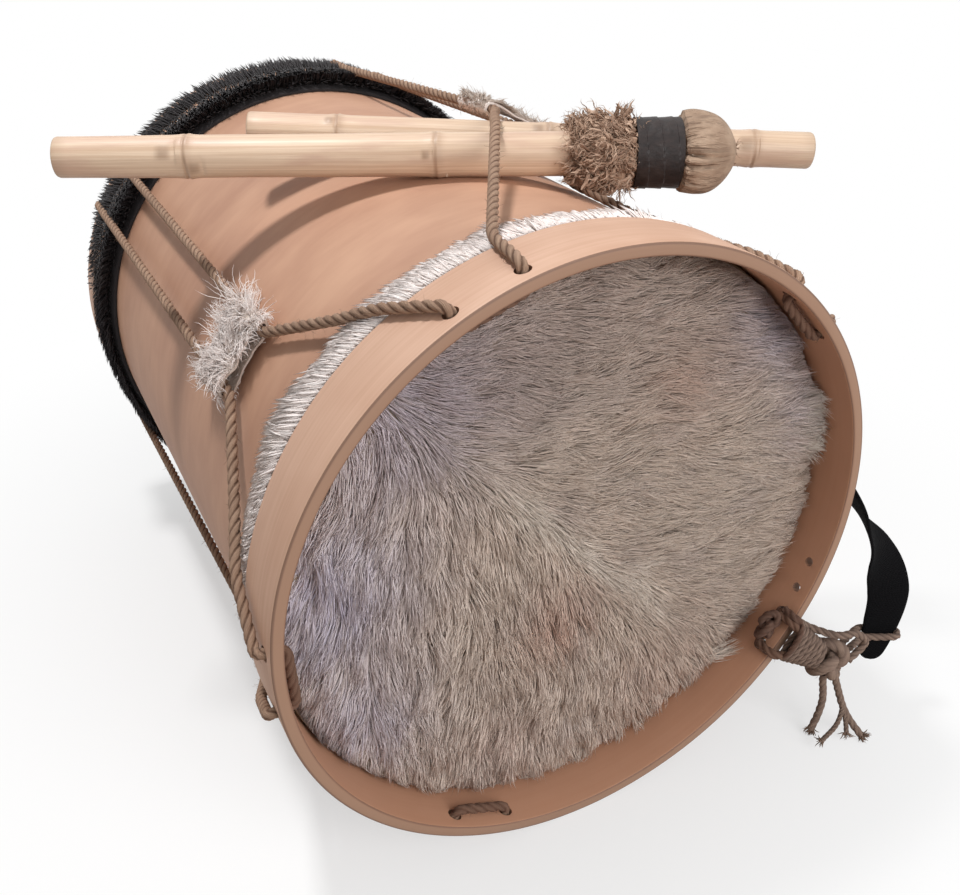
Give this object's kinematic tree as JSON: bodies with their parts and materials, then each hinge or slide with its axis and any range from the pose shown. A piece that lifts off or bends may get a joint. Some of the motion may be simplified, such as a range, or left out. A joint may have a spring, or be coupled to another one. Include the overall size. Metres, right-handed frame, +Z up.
{
  "type": "rope-laced folk drum with mallet and stick",
  "caption": "Long wooden drum with fur-covered heads in deep hoops, laced with rope and hide tugs, with a padded mallet and a plain cane under the lacing and a shoulder strap.",
  "frame": {"origin": "centre of the base of the drum's bounding box with its sticks and strap, on the surface that the hoops lie on", "axes": "+Y along the drum's axis from the front head to the rear head, +Z up, +X to the right seen from the front head, towards the strap"},
  "size_m": [0.4332, 0.5463, 0.375],
  "materials": {
    "shell_wood": "smooth oiled wood with fine grain round the drum",
    "hoop_wood": "satin bent wood with raw darker edges",
    "flesh_ring_wood": "raw cane",
    "pale_fur_hide": "hide with long pale grey-brown hair left on",
    "dark_fur_hide": "hide with near-black hair left on",
    "tug_hide": "rawhide loops with white hair left on",
    "jute_rope": "twisted natural rope, matte and hairy",
    "bamboo": "smooth cane with darker rings at its knots",
    "burlap": "coarse plain weave",
    "wool_padding": "loose wadding",
    "dark_tape": "wound adhesive tape with a soft shine",
    "strap_webbing": "black woven webbing"
  },
  "bodies": {
    "drum": {"shell": "shell_wood", "front_flesh_ring": "flesh_ring_wood", "rear_flesh_ring": "flesh_ring_wood", "front_hide": "pale_fur_hide", "rear_hide": "dark_fur_hide", "front_hoop": "hoop_wood", "rear_hoop": "hoop_wood", "lacing_rope": "jute_rope", "front_tie_knot": "jute_rope", "rear_tie_knot": "jute_rope", "rear_tie_cord": "jute_rope", "left_tail": "jute_rope", "right_tail": "jute_rope"},
    "mallet": {"mallet_cane": "bamboo", "mallet_cloth": "burlap", "mallet_padding": "wool_padding", "mallet_tape": "dark_tape"},
    "stick": {"plain_cane": "bamboo"},
    "tug_a": {"tug_1": "tug_hide"},
    "tug_b": {"tug_2": "tug_hide"},
    "tug_c": {"tug_3": "tug_hide"},
    "tug_d": {"tug_4": "tug_hide"},
    "tug_e": {"tug_5": "tug_hide"},
    "shoulder_strap": {"strap": "strap_webbing", "front_tie_loop": "jute_rope", "rear_tie_loop": "jute_rope"}
  },
  "joints": [
    {"name": "mallet_slide", "type": "slide", "parent": "drum", "child": "mallet", "axis": [0.9028, -0.43, 0], "range_m": [-0.008, 0.2]},
    {"name": "stick_slide", "type": "slide", "parent": "drum", "child": "stick", "axis": [0.9113, -0.409, -0.0478], "range_m": [-0.1, 0.1]},
    {"name": "tug_1_slide", "type": "slide", "parent": "drum", "child": "tug_a", "axis": [0.0206, 0.9998, 0.0016], "range_m": [0, 0.04]},
    {"name": "tug_2_slide", "type": "slide", "parent": "drum", "child": "tug_b", "axis": [-0.0143, 0.9988, -0.0459], "range_m": [0, 0.02]},
    {"name": "tug_3_slide", "type": "slide", "parent": "drum", "child": "tug_c", "axis": [-0.0169, 0.9998, 0.0118], "range_m": [0, 0.04]},
    {"name": "tug_4_slide", "type": "slide", "parent": "drum", "child": "tug_d", "axis": [-0.0167, 0.9998, -0.0121], "range_m": [0, 0.04]},
    {"name": "tug_5_slide", "type": "slide", "parent": "drum", "child": "tug_e", "axis": [0.0081, 0.9998, -0.019], "range_m": [0, 0.04]},
    {"name": "strap_swing", "type": "hinge", "parent": "drum", "child": "shoulder_strap", "pos_m": [0.14993, 0, 0.06172], "axis": [0, 1, 0], "range_deg": [0, 40]}
  ]
}
